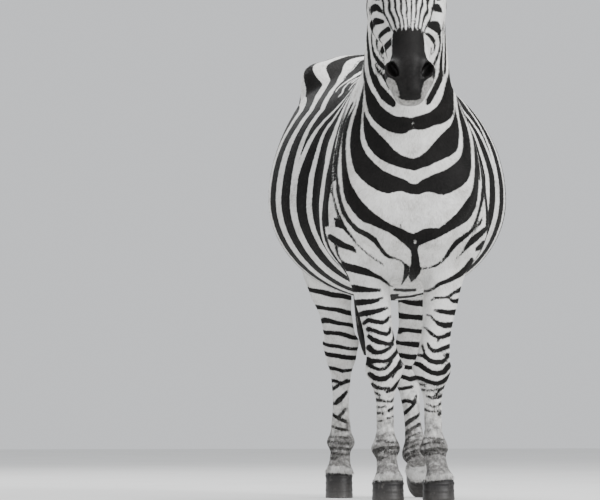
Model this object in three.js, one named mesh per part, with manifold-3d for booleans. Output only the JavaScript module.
// A life-size plains zebra mare that stands with her left hind leg at rest. Millimetres, +Z up.
// She faces -Y and her left side is +X. The flesh is one smooth form, a blend of named masses,
// and each node of it is a tube of rings laid on that form and parted from its neighbours by thin cuts.
import * as THREE from "three";
import { mergeVertices } from "three/addons/utils/BufferGeometryUtils.js";
import Module from "manifold-3d";

const wasm = await Module();
wasm.setup();

// Driving dimensions
const GAP = 0.3; // left between neighbouring solids
const CENTRED = [0, 125, 0]; // moves the animal so that its box stands centred on the origin
const SHOULDER_DEEP = 645; // underside of the chest above the ground
const WITHERS = 1266; // line of the back at the withers, without mane
const BELLY = 586; // underside of the belly above the ground
const BARREL_HALF = 349; // half width of the barrel
const CROUP = 1318; // highest line of the hindquarters
const HEAD_LENGTH = 552; // poll to lips along the head
const HEAD_PITCH = 55; // degrees that the face points below level
const HEAD_YAW = 4; // degrees that the face turns to her right
const POLL = [-36, -745, 1650];
const NECK_FROM = [0, -400, 1070];
const NECK_TO = [0, -720, 1460];
const EYE_RADIUS = 21;
const MANE_HEIGHT = 105;
const MANE_HALF = 19;
const REST_TILT = 62; // degrees that the resting hind sole is raised at the heel
const TOE_FLAT = 7; // worn off the resting toe where it meets the ground

const BACK = [0, 1, 0];
const FRONT = [0, -1, 0];
const TOP = [0, 0, 1];
const LEFT = 1;
const RIGHT = -1;
const SIDES = [LEFT, RIGHT];

const vec = (a) => new THREE.Vector3(...a);
const unit = (a) => vec(a).normalize();
const radians = THREE.MathUtils.degToRad;

// The form: each mass gives its signed distance, and the masses blend into one another.
const TABLE_STEPS = 240;
const FAR = 1000;
const CULL = 60;

function smoothMin(a, b, k) {
  const h = Math.max(k - Math.abs(a - b), 0) / k;
  return Math.min(a, b) - (h * h * k) / 4;
}

// Distance to a superellipsoid of radii ra, rb, rc from a point at shares a, b, c of them.
function roundDistance(a, b, c, ra, rb, rc, n) {
  const r = Math.max((a ** n + b ** n + c ** n) ** (1 / n), 1e-4);
  const m = n - 1;
  const slope = Math.hypot((a / r) ** m / ra, (b / r) ** m / rb, (c / r) ** m / rc);
  return (r - 1) / slope;
}

class Mass {
  constructor(at, along, up, { k = 30, cut = false } = {}) {
    this.at = vec(at);
    this.along = unit(along);
    this.up = vec(up).addScaledVector(this.along, -vec(up).dot(this.along)).normalize();
    this.side = new THREE.Vector3().crossVectors(this.along, this.up);
    this.k = k;
    this.cut = cut;
  }

  bound(points, reach) {
    this.box = new THREE.Box3().setFromPoints(points).expandByScalar(reach + this.k + CULL);
  }

  reading(p) {
    const d = this.scratch.subVectors(p, this.at);
    return this.local(d.dot(this.along), d.dot(this.up), d.dot(this.side));
  }

  scratch = new THREE.Vector3();
}

// A straight limb of changing section. A row is
// [distance along, top, bottom, half width, widest level, squareness, side shift].
class Loft extends Mass {
  constructor(at, along, up, rows, caps, options) {
    super(at, along, up, options);
    this.caps = caps;
    this.from = rows[0][0];
    this.to = rows.at(-1)[0];
    this.table = Loft.smooth(rows.map((r) => [...r, 0].slice(0, 7)));
    const reach = Math.max(...rows.flatMap((r) => r.slice(1, 4).map(Math.abs))) + Math.max(...caps);
    const ends = [this.from, this.to].map((t) => this.at.clone().addScaledVector(this.along, t));
    this.bound(ends, reach);
  }

  // The rows as evenly spaced samples of monotone cubic curves.
  static smooth(rows) {
    const slopes = rows.map((_, i) => rows[0].map((_, c) => Loft.slope(rows, i, c)));
    const [from, to] = [rows[0][0], rows.at(-1)[0]];
    return Array.from({ length: TABLE_STEPS + 1 }, (_, s) => {
      const t = from + ((to - from) * s) / TABLE_STEPS;
      const i = Math.min(Math.max(rows.findLastIndex((r) => r[0] <= t), 0), rows.length - 2);
      const h = rows[i + 1][0] - rows[i][0];
      const x = (t - rows[i][0]) / h;
      return rows[0].map((_, c) =>
        (1 + 2 * x) * (1 - x) ** 2 * rows[i][c] + x * (1 - x) ** 2 * h * slopes[i][c] +
        x * x * (3 - 2 * x) * rows[i + 1][c] + x * x * (x - 1) * h * slopes[i + 1][c]);
    });
  }

  static slope(rows, i, c) {
    const rise = (j) => (rows[j + 1][c] - rows[j][c]) / (rows[j + 1][0] - rows[j][0]);
    if (i === 0) return rise(0);
    if (i === rows.length - 1) return rise(i - 1);
    const [before, after] = [rise(i - 1), rise(i)];
    if (before * after <= 0) return 0;
    const w1 = 2 * (rows[i + 1][0] - rows[i][0]) + rows[i][0] - rows[i - 1][0];
    const w2 = rows[i + 1][0] - rows[i][0] + 2 * (rows[i][0] - rows[i - 1][0]);
    return (w1 + w2) / (w1 / before + w2 / after);
  }

  local(t, v, u) {
    const held = Math.min(Math.max(t, this.from), this.to);
    const place = ((held - this.from) / (this.to - this.from)) * TABLE_STEPS;
    const i = Math.min(Math.floor(place), TABLE_STEPS - 1);
    const x = place - i;
    const [low, high] = [this.table[i], this.table[i + 1]];
    const at = (c) => low[c] + (high[c] - low[c]) * x;
    const [top, bottom, half, middle, n, shift] = [at(1), at(2), at(3), at(4), at(5), at(6)];
    const tall = v > middle ? top - middle : middle - bottom;
    const cap = t < held ? this.caps[0] : this.caps[1];
    return roundDistance(Math.abs(u - shift) / half, Math.abs(v - middle) / tall,
      Math.abs(t - held) / cap, half, tall, cap, n);
  }
}

// An ellipsoid of radii [across, along, up].
class Ball extends Mass {
  constructor(at, radii, options = {}) {
    super(at, options.along ?? BACK, options.up ?? TOP, options);
    this.radii = radii;
    this.bound([this.at], Math.max(...radii));
  }

  local(t, v, u) {
    const [across, along, up] = this.radii;
    const [a, b, c] = [Math.abs(u) / across, Math.abs(t) / along, Math.abs(v) / up];
    return roundDistance(a, b, c, across, along, up, 2);
  }
}

function reading(masses, p) {
  let d = FAR;
  for (const mass of masses) {
    if (!mass.box.containsPoint(p)) continue;
    const own = mass.reading(p);
    d = mass.cut ? -smoothMin(-d, own, mass.k) : smoothMin(d, own, mass.k);
  }
  return d;
}

// Trunk: [y, top z, bottom z, half width, widest z, squareness, shift to her left]
const TRUNK = [
  [-560, 1030, 790, 105, 890, 2.1, -12],
  [-500, 1120, 715, 150, 880, 2.1, -10],
  [-430, 1180, SHOULDER_DEEP + 25, 178, 870, 2.1, -7],
  [-340, WITHERS - 26, SHOULDER_DEEP, 198, 870, 2.1, -3],
  [-240, WITHERS, SHOULDER_DEEP - 17, 232, 875, 2.05, 0],
  [-120, WITHERS - 6, BELLY + 20, BARREL_HALF - 59, 880, 2, 0],
  [20, WITHERS - 14, BELLY + 2, BARREL_HALF - 14, 880, 2, 0],
  [140, WITHERS - 8, BELLY, BARREL_HALF, 880, 2, 0],
  [260, CROUP - 40, BELLY + 29, BARREL_HALF - 19, 900, 2.05, -2],
  [370, CROUP - 12, BELLY + 104, BARREL_HALF - 79, 960, 2.2, -6],
  [470, CROUP, 770, 220, 1010, 2.2, -6],
  [570, CROUP - 22, 830, 185, 1030, 2.1, -4],
  [650, CROUP - 86, 880, 140, 1050, 2, 0],
];

// Neck: [along, crest, throat, half width, widest level, squareness, shift to her right]
const NECK = [
  [-80, 225, -215, 160, -60, 2.1, 4],
  [57, 222, -210, 150, -50, 2.05, 8],
  [140, 212, -188, 136, -40, 2, 12],
  [224, 198, -158, 125, -20, 2, 16],
  [320, 176, -122, 116, 0, 2, 21],
  [400, 156, -92, 111, 10, 2, 26],
  [500, 126, -66, 100, 20, 2, 33],
  [580, 100, -50, 82, 25, 2, 38],
  [650, 68, -40, 62, 20, 2, 41],
];

// Head: [along, bridge, jaw, half width, widest level, squareness]
const HEAD = [
  [0, 0, -110, 60, -45, 2],
  [50, 22, -160, 80, -45, 2],
  [110, 34, -205, 96, -50, 2.1],
  [170, 36, -230, 104, -65, 2.1],
  [235, 30, -232, 100, -85, 2.1],
  [300, 22, -208, 86, -92, 2.1],
  [370, 13, -172, 68, -85, 2.1],
  [430, 6, -146, 57, -72, 2.1],
  [490, 0, -134, 58, -64, 2.2],
  [525, -10, -128, 53, -64, 2.2],
  [HEAD_LENGTH, -26, -112, 40, -66, 2.1],
];

// Legs: [share of the length, front, back, half width, widest level, squareness]
const FOREARM = [
  [0, 92, -125, 68, 0, 2.2],
  [0.25, 74, -94, 63, 0, 2.2],
  [0.5, 58, -66, 52, 0, 2.2],
  [0.75, 43, -47, 42, 0, 2.2],
  [0.9, 43, -43, 46, 0, 2.3],
  [1, 46, -44, 50, 0, 2.4],
];
const FORE_CANNON = [
  [0, 46, -46, 50, 0, 2.4],
  [0.12, 41, -43, 47, 0, 2.4],
  [0.27, 31, -36, 33, 0, 2.2],
  [0.45, 25, -32, 25.5, 0, 2.1],
  [0.75, 24.5, -34, 25.5, 0, 2.1],
  [0.9, 29, -40, 32, 0, 2.1],
  [1, 33, -43, 37, 0, 2.1],
];
const GASKIN = [
  [0, 70, -135, 84, 0, 2.1],
  [0.25, 63, -110, 80, 0, 2.1],
  [0.5, 53, -78, 67, 0, 2.1],
  [0.75, 42, -51, 47, 0, 2.2],
  [0.92, 43, -50, 46, 0, 2.3],
  [1, 44, -54, 49, 0, 2.4],
];
const HIND_CANNON = [
  [0, 46, -55, 50, 0, 2.4],
  [0.14, 40, -49, 46, 0, 2.3],
  [0.32, 30, -38, 31, 0, 2.1],
  [0.6, 26, -34, 24.5, 0, 2.1],
  [0.86, 29, -40, 30, 0, 2.1],
  [1, 33, -44, 37.5, 0, 2.1],
];
const PASTERN = [
  [0, 33, -40, 36.5, 0, 2.1],
  [0.4, 28, -31, 30, 0, 2.1],
  [0.7, 30, -33, 32, 0, 2.1],
  [1, 38, -40, 41, 0, 2.2],
];
// Hooves: [height above the sole, toe, heel, half width, widest level, squareness]
const HOOF_HEIGHT = 72;
const FORE_HOOF = [[0, 62, -46, 47, -2, 2.3], [HOOF_HEIGHT, 30, -50, 44.5, -6, 2.2]];
const HIND_HOOF = [[0, 60, -44, 41, -2, 2.3], [HOOF_HEIGHT, 28, -48, 39.5, -6, 2.2]];

// Joints of each leg from the elbow or stifle down to the crown of the hoof
const LEGS = {
  fore_left: {
    side: LEFT,
    joints: [[128, -375, 800], [70, -432, 395], [74, -442, 165], [85, -478, 80]],
  },
  fore_right: {
    side: RIGHT,
    joints: [[-128, -375, 800], [-67, -432, 395], [-64, -442, 165], [-60, -478, 80]],
  },
  hind_left: {
    side: LEFT,
    joints: [[158, 338, 750], [106, 602, 402], [121, 478, 132], [138, 552, 86]],
  },
  hind_right: {
    side: RIGHT,
    joints: [[-174, 365, 790], [-89, 620, 460], [-91, 600, 165], [-99, 565, 80]],
  },
};
for (const [name, leg] of Object.entries(LEGS)) leg.fore = name.startsWith("fore");

// The head's own directions, and a place on it: along the face, up from it, and to her left
const yawed = vec([-Math.sin(radians(HEAD_YAW)), -Math.cos(radians(HEAD_YAW)), 0]);
const [level, fall] = [Math.cos(radians(HEAD_PITCH)), Math.sin(radians(HEAD_PITCH))];
const HEAD_ALONG = yawed.clone().multiplyScalar(level).add(vec([0, 0, -fall]));
const HEAD_UP = yawed.clone().multiplyScalar(fall).add(vec([0, 0, level]));
const HEAD_LEFT = new THREE.Vector3().crossVectors(HEAD_UP, HEAD_ALONG);

function onHead(t, v, u) {
  return vec(POLL).addScaledVector(HEAD_ALONG, t).addScaledVector(HEAD_UP, v)
    .addScaledVector(HEAD_LEFT, u);
}

const NECK_ALONG = vec(NECK_TO).sub(vec(NECK_FROM)).normalize();
const NECK_UP = vec([0, NECK_ALONG.z, -NECK_ALONG.y]);

function trunkMasses() {
  const paired = SIDES.flatMap((s) => [
    new Ball([s * 138, -370, 930], [80, 130, 220],
      { k: 70, along: [0, 0.94, 0.34], up: [-s * 0.26, -0.34, 0.92] }), // shoulder blade
    new Ball([s * 125 - 8, -520, 905], [68, 70, 95], { k: 50 }), // point of the shoulder
    new Ball([s * 66 - 10, -540, 850], [84, 66, 125], { k: 50 }), // breast muscle
    new Ball([s * 150, -385, 800], [72, 115, 110], { k: 60 }), // upper arm
    new Ball([s * 130, 500, 960], [98, 165, 250],
      { k: 60, along: [0, 0.96, -0.28], up: [0, 0.28, 0.96] }), // thigh
    new Ball([s * 88, 610, 1020], [85, 105, 195], { k: 50 }), // buttock
    new Ball([s * 168, 370, 800], [64, 85, 100], { k: 50 }), // stifle
  ]);
  return [
    new Loft([0, 0, 0], BACK, TOP, TRUNK, [55, 50], { k: 50 }),
    new Ball([0, -270, 1210], [55, 170, 88], { k: 80 }), // withers
    ...paired,
    new Ball([-184, 360, 1240], [46, 65, 46], { k: 50 }), // right hip bone, over the standing leg
    new Ball([164, 360, 1218], [46, 65, 46], { k: 50 }), // left hip bone, dropped over the resting leg
    new Ball([-112, 455, 1168], [112, 185, 135], { k: 50 }), // rump
    new Ball([98, 455, 1152], [112, 185, 135], { k: 50 }),
  ];
}

function limb(from, to, rows, caps, k) {
  const span = vec(to).distanceTo(vec(from));
  const placed = rows.map(([share, ...rest]) => [share * span, ...rest]);
  return new Loft(from, vec(to).sub(vec(from)).toArray(), FRONT, placed, caps, { k });
}

function legMasses({ fore, joints: [top, middle, fetlock, crown] }) {
  const masses = [
    limb(top, middle, fore ? FOREARM : GASKIN, [40, 20], fore ? 50 : 60),
    limb(middle, fetlock, fore ? FORE_CANNON : HIND_CANNON, [20, 20], 20),
    limb(fetlock, crown, PASTERN, [20, 15], 20),
  ];
  if (fore) {
    const back = [middle[0], middle[1] + 44, middle[2] + 4];
    return [...masses, new Ball(back, [16, 20, 28], { k: 25 })];
  }
  const point = vec(middle).add(vec([0, 50, 42])); // point of the hock
  const start = vec(top).lerp(vec(middle), 0.42).add(vec([0, 60, 20]));
  const tendon = [[0, 20, -20, 18, 0, 2], [point.distanceTo(start), 14, -14, 14, 0, 2]];
  return [
    ...masses,
    new Ball(point.toArray(), [19, 24, 40], { k: 25 }),
    new Loft(start.toArray(), point.clone().sub(start).toArray(), FRONT, tendon, [20, 10], { k: 30 }),
  ];
}

function headMasses() {
  const axes = { along: HEAD_ALONG.toArray(), up: HEAD_UP.toArray() };
  const ball = (t, v, u, radii, k) => new Ball(onHead(t, v, u).toArray(), radii, { ...axes, k });
  return [
    new Loft(POLL, axes.along, axes.up, HEAD, [30, 22], { k: 50 }),
    ...SIDES.flatMap((s) => [
      ball(195, -140, s * 66, [44, 90, 80], 30), // cheek
      ball(150, -12, s * 86, [24, 45, 24], 30), // brow
      ball(240, -70, s * 85, [12, 90, 16], 35), // cheekbone
      ball(498, -38, s * 46, [25, 40, 36], 20), // wing of the nostril
    ]),
    ball(538, -62, 0, [46, 34, 36], 20), // upper lip
    ball(508, -118, 0, [34, 36, 26], 20), // chin
  ];
}

// The dock of the tail, as points with a radius
const DOCK = [[[0, 665, 1212], 38], [[0, 712, 1150], 31], [[0, 732, 1030], 25], [[0, 738, 880], 21]];

function dockMasses() {
  return DOCK.slice(1).map(([to, r1], i) => {
    const [from, r0] = DOCK[i];
    const span = vec(to).distanceTo(vec(from));
    const rows = [[0, r0, -r0, r0, 0, 2], [span, r1, -r1, r1, 0, 2]];
    const caps = [r0 * 0.9, r1 * 0.9];
    return new Loft(from, vec(to).sub(vec(from)).toArray(), FRONT, rows, caps, { k: 25 });
  });
}

const BODY = [
  ...trunkMasses(),
  new Loft(NECK_FROM, NECK_ALONG.toArray(), NECK_UP.toArray(), NECK, [50, 40], { k: 100 }),
  ...Object.values(LEGS).flatMap(legMasses),
];

// A form as one function of a point. Well past a limit it counts as outside, so a tube stops behind
// the cut that trims it and doesn't run on into a neighbour.
const SLACK = 60;
const form = (masses, limits = []) => (p) =>
  Math.max(reading(masses, p), ...limits.map((limit) => limit(p) - SLACK));

// Rings on the form: from each station's middle, a ray goes out to the surface in every direction.
const STRIDE = 9;
const HALVINGS = 18;

function surfaceAlong(shape, from, direction, reach, level) {
  const p = new THREE.Vector3();
  const at = (far) => shape(p.copy(from).addScaledVector(direction, far));
  let inside = 0;
  let outside = STRIDE;
  while (outside < reach && at(outside) <= level) {
    inside = outside;
    outside += STRIDE;
  }
  if (outside >= reach) return reach;
  for (let i = 0; i < HALVINGS; i++) {
    const middle = (inside + outside) / 2;
    if (at(middle) <= level) inside = middle;
    else outside = middle;
  }
  return inside;
}

// A closed tube of rings. A station is { at, side, up, reach }, and the rings are joined in order.
// A crowding above zero sets the rays of each ring closer together below than above.
function tube(shape, stations, sides, { level = 0, crowding = 0 } = {}) {
  const points = [];
  const faces = [];
  for (const { at, side, up, reach } of stations)
    for (let s = 0; s < sides; s++) {
      const even = (2 * Math.PI * s) / sides;
      const turn = even - crowding * Math.cos(even);
      const out = side.clone().multiplyScalar(Math.cos(turn)).addScaledVector(up, Math.sin(turn));
      points.push(at.clone().addScaledVector(out, surfaceAlong(shape, at, out, reach, level)));
    }
  const [first, last] = [points.length, points.length + 1];
  points.push(stations[0].at, stations.at(-1).at);
  for (let s = 0; s < sides; s++) {
    const next = (s + 1) % sides;
    for (let r = 0; r + 1 < stations.length; r++) {
      const [a, b] = [r * sides + s, r * sides + next];
      faces.push([a, b, b + sides], [a, b + sides, a + sides]);
    }
    const end = (stations.length - 1) * sides;
    faces.push([first, next, s], [last, end + s, end + next]);
  }
  const forward = stations.at(-1).at.clone().sub(stations[0].at);
  const facing = new THREE.Vector3().crossVectors(stations[0].side, stations[0].up).dot(forward);
  return solid(points, facing > 0 ? faces : faces.map(([a, b, c]) => [a, c, b]));
}

function solid(points, faces) {
  return new wasm.Manifold(new wasm.Mesh({
    numProp: 3,
    vertProperties: new Float32Array(points.flatMap((p) => p.toArray())),
    triVerts: new Uint32Array(faces.flat()),
  }));
}

function solidOf(geometry) {
  const bare = geometry.clone().deleteAttribute("normal").deleteAttribute("uv");
  const merged = mergeVertices(bare);
  return new wasm.Manifold(new wasm.Mesh({
    numProp: 3,
    vertProperties: new Float32Array(merged.attributes.position.array),
    triVerts: new Uint32Array(merged.index.array),
  }));
}

// A cut is a plane with a normal; both sides keep half of the gap away from it.
const cutAt = (point, normal) => ({ normal: unit(normal), point: vec(point) });

function keep(body, { normal, point }, sign) {
  const towards = normal.clone().multiplyScalar(sign);
  return body.trimByPlane(towards.toArray(), towards.dot(point) + GAP / 2);
}

const ahead = (body, cut) => keep(body, cut, 1);
const behind = (body, cut) => keep(body, cut, -1);
// How far a point is past a cut
const past = ({ normal, point }) => (p) => normal.dot(p) - normal.dot(point);

const NECK_ROOT = cutAt([0, -360, 1270], [0, -0.739, 0.673]);
// The head is parted from the neck behind the jaw and under it.
const THROAT = cutAt([0, -715, 1660], [0, -0.978, -0.208]);
const JAW = cutAt([0, -640, 1312], [0, -0.45, 0.893]);

function legCut({ fore, side }) {
  return fore
    ? cutAt([side * 110, -390, 668], [-side * 0.5, 0.35, 0.79])
    : cutAt([side * 158, 400, 735], [-side * 0.35, -0.42, 0.84]);
}

// The room that a leg keeps to: the middle and the size of a box
const roomOf = ({ fore, side }) => fore
  ? { middle: [side * 155, -400, 400], size: [300, 360, 800] }
  : { middle: [side * 175, 548, 450], size: [340, 560, 900] };

// The room as a solid, and the same with a gap round it, which the trunk leaves to the leg
function legRoom(leg, spare = 0) {
  const { middle, size } = roomOf(leg);
  const grown = size.map((length) => length + 2 * spare);
  return solidOf(new THREE.BoxGeometry(...grown).translate(...middle));
}

// How deep a point of the trunk lies in a leg's hollow
function depthInHollow(leg) {
  const { middle, size } = roomOf(leg);
  const above = past(legCut(leg));
  return (p) => Math.min(-above(p), ...["x", "y", "z"].map((axis, i) =>
    size[i] / 2 - Math.abs(p[axis] - middle[i])));
}

function legHollow(leg) {
  const { normal, point } = legCut(leg);
  return behind(legRoom(leg, GAP), { normal, point: point.clone().addScaledVector(normal, GAP) });
}

function trunkSolid(level = 0) {
  const rows = [-598, -588, -568, -535, -495, -455, -420, -385, -350, -310, -250, -175, -95,
    -15, 65, 140, 215, 280, 335, 390, 440, 490, 540, 585, 625, 660, 688, 705];
  const stations = rows.map((y) => ({
    at: vec([0, y, THREE.MathUtils.clamp(900 + 0.25 * (y - 200), 880, 1010) + Math.max(0, -540 - y)]),
    side: vec([1, 0, 0]),
    up: vec(TOP),
    reach: 470,
  }));
  const limits = [past(NECK_ROOT), ...Object.values(LEGS).map(depthInHollow)];
  return tube(form(BODY, limits), stations, 28, { level, crowding: 0.4 });
}

function neckSolid(level = 0) {
  const steps = [0, 60, 120, 180, 240, 300, 360, 420, 480, 540, 600, 660, 715];
  const side = vec([1, 0, 0]);
  const stations = steps.map((t) => ({
    at: vec(NECK_FROM).addScaledVector(NECK_ALONG, t).addScaledVector(side, -t * 0.06),
    side,
    up: NECK_UP,
    reach: t < 90 ? 270 : 230,
  }));
  return tube(form(BODY), stations, 24, { level });
}

// What the neck leaves to the head
function headHollow() {
  const room = solidOf(new THREE.BoxGeometry(500, 800, 900).translate(0, -950, 1500));
  return [THROAT, JAW].reduce((body, { normal, point }) =>
    ahead(body, { normal, point: point.clone().addScaledVector(normal, -GAP) }), room);
}

function headSolid(level = 0) {
  const steps = [-52, -40, -22, 0, 28, 58, 88, 118, 148, 178, 210, 245, 280, 315, 350, 385, 415,
    440, 462, 482, 502, 520, 536, 550, 563, 572];
  const stations = steps.map((t) => ({
    at: onHead(t, -60 - 25 * Math.sin((Math.PI * Math.max(t, 0)) / HEAD_LENGTH), 0),
    side: HEAD_LEFT,
    up: HEAD_UP,
    reach: 250,
  }));
  return tube(form(headMasses()), stations, 24, { level });
}

function legSolid({ joints }) {
  const [top, middle, fetlock, crown] = joints.map(vec);
  const above = top.clone().lerp(middle, -0.08);
  const below = crown.clone().lerp(fetlock, -0.35);
  const points = [above, top, middle, fetlock, crown, below];
  const curve = new THREE.CatmullRomCurve3(points, false, "chordal");
  const spans = [6, 8, 8, 5, 1];
  const places = [0];
  spans.forEach((count, i) => {
    const from = curveShare(curve, i);
    const to = curveShare(curve, i + 1);
    for (let s = 1; s <= count; s++) places.push(from + ((to - from) * s) / count);
  });
  const stations = places.map((u) => legStation(curve, u));
  return tube(form(BODY), stations, 14);
}

// Share of a curve's own parameter at its i-th control point
const curveShare = (curve, i) => i / (curve.points.length - 1);

function legStation(curve, u) {
  const down = curve.getTangent(u);
  const up = vec(FRONT).addScaledVector(down, -vec(FRONT).dot(down)).normalize();
  const side = new THREE.Vector3().crossVectors(up, down);
  const at = curve.getPoint(u);
  return { at, side, up, reach: at.z > 600 ? 150 : 110 };
}

// A hoof's own place: the middle of its sole, its upward direction and the direction of its toe
function hoofPose(name, { joints }) {
  if (name !== "hind_left") {
    const [x, y] = joints[3];
    return { at: vec([x, y + 6, 0]), up: vec(TOP), toe: vec(FRONT) };
  }
  const tilt = radians(REST_TILT);
  const at = vec([148, 590 + 62 * Math.cos(tilt), 62 * Math.sin(tilt) - TOE_FLAT]);
  const up = unit([-0.1, -Math.sin(tilt), Math.cos(tilt)]);
  const toe = vec([0, -1, -0.5]).addScaledVector(up, -vec([0, -1, -0.5]).dot(up)).normalize();
  return { at, up, toe };
}

function hoofSolid(pose, fore) {
  const rows = fore ? FORE_HOOF : HIND_HOOF;
  const [at, up, toe] = [pose.at.toArray(), pose.up.toArray(), pose.toe.toArray()];
  const own = [new Loft(at, up, toe, rows, [1, 4], { k: 4 })];
  const side = new THREE.Vector3().crossVectors(pose.toe, pose.up);
  const heights = [0, 22, 48, HOOF_HEIGHT];
  const stations = heights.map((h) =>
    ({ at: pose.at.clone().addScaledVector(pose.up, h), side, up: pose.toe, reach: 90 }));
  return tube(form(own), stations, 18);
}

// Ears: [along, front, back, half width, widest level, squareness]
const EAR = [
  [0, 22, -24, 24, 0, 2],
  [45, 20, -30, 34, 0, 2],
  [90, 14, -28, 38, 0, 2],
  [130, 8, -20, 31, 0, 2],
  [155, 4, -12, 18, 0, 2],
];
const EAR_HOLLOW = [
  [0, 14, -14, 10, 0, 2],
  [40, 20, -24, 24, 0, 2],
  [75, 20, -24, 28, 0, 2],
  [105, 16, -16, 18, 0, 2],
];

function earSolid(side, head) {
  const base = onHead(12, 0, side * 60);
  const axis = unit([side * 0.3, 0.06, 1]);
  const front = unit([side * 0.35, -1, 0]);
  const loft = (at, rows, caps) =>
    new Loft(at.toArray(), axis.toArray(), front.toArray(), rows, caps, { k: 4 });
  const outer = loft(base, EAR, [20, 12]);
  const mouth = base.clone().addScaledVector(axis, 30).addScaledVector(front, 18);
  const inner = loft(mouth, EAR_HOLLOW, [10, 10]);
  const rings = (masses, origin, steps, sides) => {
    const across = new THREE.Vector3().crossVectors(outer.up, outer.along);
    const stations = steps.map((t) =>
      ({ at: origin.clone().addScaledVector(axis, t), side: across, up: outer.up, reach: 90 }));
    return tube(form(masses), stations, sides);
  };
  const shell = rings([outer], base, [-14, 10, 36, 64, 92, 118, 140, 156, 165], 12);
  const hollow = rings([inner], mouth, [-8, 2, 25, 50, 75, 98, 112], 8);
  return shell.subtract(hollow).subtract(head);
}

// The mane stands along the crest from between the ears to the withers: [y, z, share of its height]
const CREST = [
  [-812, 1600, 0.4], [-775, 1630, 0.9], [-735, 1646, 1], [-690, 1618, 1], [-640, 1566, 1],
  [-585, 1518, 1], [-525, 1468, 1], [-465, 1424, 0.95], [-405, 1378, 0.8], [-350, 1336, 0.55],
  [-305, 1304, 0.2],
];
const ROOT_DEPTH = 110;

function maneSolid(neighbours) {
  const line = new THREE.CatmullRomCurve3(CREST.map(([y, z]) => vec([maneShift(y), y, z])));
  const count = 18;
  const stations = Array.from({ length: count + 1 }, (_, i) => {
    const back = line.getTangent(i / count);
    const up = unit([0, -back.z, back.y]);
    const tall = MANE_HEIGHT * maneShare(line.getPoint(i / count).y);
    return { at: line.getPoint(i / count), up, tall };
  });
  const outline = [
    [-1.15, -1], [-0.95, 0.45], [-0.6, 0.85], [0, 1], [0.6, 0.85], [0.95, 0.45], [1.15, -1],
  ];
  const points = stations.flatMap(({ at, up, tall }) => outline.map(([across, high]) => {
    const rise = high < 0 ? -ROOT_DEPTH : tall * high;
    return at.clone().addScaledVector(up, rise).add(vec([across * MANE_HALF, 0, 0]));
  }));
  let body = solid(points, lofted(stations.length, outline.length));
  for (const neighbour of neighbours) body = body.subtract(neighbour);
  return body;
}

// How far the crest lies to her right at a given y
const maneShift = (y) => THREE.MathUtils.mapLinear(y, -300, -775, 0, -38);

function maneShare(y) {
  const i = Math.min(Math.max(CREST.findLastIndex((c) => c[0] <= y), 0), CREST.length - 2);
  return THREE.MathUtils.mapLinear(y, CREST[i][0], CREST[i + 1][0], CREST[i][2], CREST[i + 1][2]);
}

// Faces that join rows of points into a closed bar with flat ends
function lofted(rows, wide) {
  const faces = [];
  for (let r = 0; r + 1 < rows; r++)
    for (let s = 0; s < wide; s++) {
      const [a, b] = [r * wide + s, r * wide + ((s + 1) % wide)];
      faces.push([a, b, b + wide], [a, b + wide, a + wide]);
    }
  const end = (rows - 1) * wide;
  for (let s = 1; s + 1 < wide; s++) faces.push([0, s + 1, s], [end, end + s, end + s + 1]);
  return faces;
}

// The tail's tuft of long hair: [z, y, radius]
const TUFT = [
  [905, 738, 24], [840, 742, 32], [760, 748, 39], [680, 752, 43],
  [600, 752, 42], [520, 748, 35], [455, 743, 22], [420, 741, 8],
];

function tailStations(rows) {
  return rows.map(([z, y]) =>
    ({ at: vec([0, y, z]), side: vec([1, 0, 0]), up: vec(FRONT), reach: 60 }));
}

function tuftSolid() {
  const rounds = tailStations(TUFT).map((station, i) => ({ ...station, radius: TUFT[i][2] }));
  const sides = 12;
  const points = rounds.flatMap(({ at, side, up, radius }) =>
    Array.from({ length: sides }, (_, s) => {
      const turn = (2 * Math.PI * s) / sides;
      return at.clone().addScaledVector(side, radius * Math.cos(turn))
        .addScaledVector(up, radius * Math.sin(turn));
    }));
  return solid(points, lofted(rounds.length, sides));
}

function dockSolid() {
  const curve = new THREE.CatmullRomCurve3(DOCK.map(([p]) => vec(p)));
  const stations = Array.from({ length: 11 }, (_, i) => legStation(curve, i / 10));
  return tube(form(dockMasses()), stations, 10);
}

// Materials
const finish = (color, roughness) => new THREE.MeshStandardMaterial({ color, roughness, metalness: 0 });
const COAT = finish(0xb9b6b0, 0.75);
const HORN = finish(0x3a3735, 0.55);
const EYE = finish(0x0d0b0a, 0.1);
const HAIR = finish(0x4a4744, 0.8);

const zebra = new THREE.Group();
zebra.position.fromArray(CENTRED);

function add(name, body, material) {
  const largest = body.decompose().reduce((a, b) => (a.volume() > b.volume() ? a : b));
  const { vertProperties, triVerts, numProp } = largest.getMesh();
  const corners = Array.from({ length: vertProperties.length / numProp }, (_, i) =>
    [...vertProperties.subarray(i * numProp, i * numProp + 3)]);
  const geometry = new THREE.BufferGeometry();
  geometry.setAttribute("position", new THREE.Float32BufferAttribute(corners.flat(), 3));
  geometry.setIndex([...triVerts]);
  const mesh = new THREE.Mesh(geometry, material);
  mesh.name = name;
  zebra.add(mesh);
}

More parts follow.
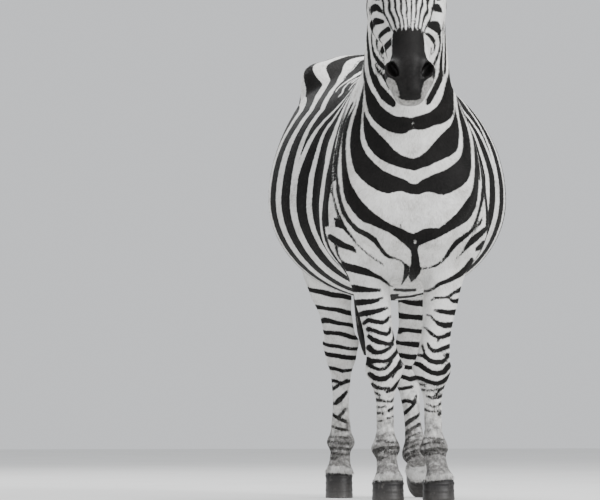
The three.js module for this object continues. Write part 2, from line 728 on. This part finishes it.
function addLeg(name, leg) {
  const root = legCut(leg);
  const middle = vec(leg.joints[1]);
  const knee = cutAt(middle.toArray(), vec(leg.joints[0]).sub(vec(leg.joints[2])).toArray());
  const pose = hoofPose(name, leg);
  const rim = pose.at.clone().addScaledVector(pose.up, HOOF_HEIGHT - 4);
  const crown = cutAt(rim.toArray(), pose.up.toArray());
  const whole = ahead(behind(legSolid(leg), root), crown).intersect(legRoom(leg));
  add("leg_upper_" + name, ahead(whole, knee), COAT);
  add("leg_lower_" + name, behind(whole, knee), COAT);
  const ground = cutAt([0, 0, -GAP / 2], TOP);
  add("hoof_" + name, ahead(behind(hoofSolid(pose, leg.fore), crown), ground), HORN);
}

function eyeball(side, radius) {
  const at = onHead(172, -46, side * 92);
  return solidOf(new THREE.SphereGeometry(radius, 12, 8).translate(...at.toArray()));
}

function build() {
  const hollows = Object.values(LEGS).map(legHollow);
  const trunk = behind(trunkSolid(), NECK_ROOT);
  const grownTrunk = trunkSolid(GAP);
  add("trunk", hollows.reduce((body, hollow) => body.subtract(hollow), trunk), COAT);
  const nape = behind(neckSolid(), cutAt(onHead(0, -8, 0).toArray(), HEAD_UP.toArray()));
  const raised = headSolid().add(nape);
  add("neck", ahead(raised, NECK_ROOT).subtract(headHollow()), COAT);
  const sockets = SIDES.map((s) => eyeball(s, EYE_RADIUS + GAP));
  const head = ahead(ahead(raised, THROAT), JAW);
  add("head", sockets.reduce((body, ball) => body.subtract(ball), head), COAT);
  SIDES.forEach((s) => add(s === LEFT ? "eye_left" : "eye_right", eyeball(s, EYE_RADIUS), EYE));
  const grownHead = headSolid(GAP);
  SIDES.forEach((s) => add(s === LEFT ? "ear_left" : "ear_right", earSolid(s, grownHead), COAT));
  add("mane", maneSolid([grownHead, neckSolid(GAP), grownTrunk]), HAIR);
  for (const [name, leg] of Object.entries(LEGS)) addLeg(name, leg);
  const dockEnd = cutAt([0, 738, 895], [0, 0, -1]);
  add("tail_dock", behind(dockSolid(), dockEnd).subtract(grownTrunk), COAT);
  add("tail_tuft", ahead(tuftSolid(), dockEnd), HAIR);
}

build();
export default zebra;
